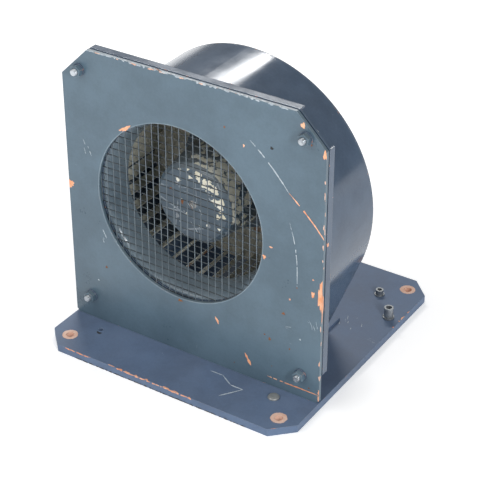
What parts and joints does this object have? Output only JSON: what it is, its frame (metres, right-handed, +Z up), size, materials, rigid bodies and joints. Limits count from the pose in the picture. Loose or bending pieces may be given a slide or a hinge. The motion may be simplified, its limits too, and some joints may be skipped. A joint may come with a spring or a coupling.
{
  "type": "dc blower fan",
  "caption": "Centrifugal blower: a forward-curved wheel on a motor turns in a scroll housing behind a meshed round inlet, on a flat base plate.",
  "frame": {"origin": "middle of the base plate's underside", "axes": "+Z up, the inlet faces -Y, +X to the right of someone who faces the inlet"},
  "size_m": [0.35, 0.361, 0.3768],
  "materials": {
    "housing_paint": "semi-gloss blue-grey paint over orange primer, chipped and scratched",
    "base_paint": "semi-gloss blue-grey paint, bare primer round the fixing holes",
    "cup_paint": "semi-gloss blue-grey paint, dusty",
    "zinc": "zinc plate, dulled",
    "old_screw": "dirty plated steel",
    "mesh_wire": "galvanised wire",
    "wheel_steel": "dusty yellowed galvanised steel",
    "raw_steel": "ground steel",
    "alloy": "cast alloy",
    "laminations": "dark varnish",
    "copper": "varnished copper",
    "brass": "bare brass",
    "carbon": "pressed carbon",
    "phenolic": "phenolic board",
    "black_plastic": "moulded black plastic"
  },
  "bodies": {
    "housing": {"base_plate": "base_paint", "outlet_frame": "base_paint", "front_cover": "housing_paint", "mesh_uprights": "mesh_wire", "mesh_levels": "mesh_wire", "housing_front": "housing_paint", "inlet_cone": "housing_paint", "scroll_wall": "housing_paint", "scroll_back": "housing_paint", "cover_studs": "housing_paint", "cover_spacers": "zinc", "cover_washers": "housing_paint", "cover_nuts": "housing_paint", "button_screw": "old_screw", "socket_screws": "zinc", "socket_washers": "zinc", "earth_screw": "zinc", "earth_washer": "zinc", "bearing_outer_rings": "raw_steel", "motor_tube": "housing_paint", "motor_flange": "alloy", "flange_screws": "zinc", "flange_nuts": "zinc", "front_shield": "alloy", "rear_shield": "alloy", "tie_bolts": "zinc", "tie_nuts": "zinc", "field_magnets": "laminations", "brush_ring": "phenolic", "brush_holders": "brass", "carbon_brushes": "carbon", "brush_springs": "zinc", "terminal_box": "black_plastic", "terminal_lid": "black_plastic", "lid_screws": "zinc", "cable_gland": "black_plastic", "gland_nut": "black_plastic"},
    "rotor": {"wheel_cup": "cup_paint", "wheel_back": "wheel_steel", "wheel_ring": "wheel_steel", "wheel_blades": "wheel_steel", "wheel_rivets": "zinc", "wheel_boss": "alloy", "cup_screws": "zinc", "boss_grub_screw": "zinc", "motor_shaft": "raw_steel", "drive_key": "raw_steel", "armature_core": "laminations", "armature_coils": "copper", "commutator": "copper", "bearing_inner_rings": "raw_steel", "bearing_balls": "raw_steel"}
  },
  "joints": [
    {"name": "rotor_spin", "type": "hinge", "parent": "housing", "child": "rotor", "pos_m": [-0.0167, 0, 0.2], "axis": [0, 1, 0], "continuous": true}
  ]
}
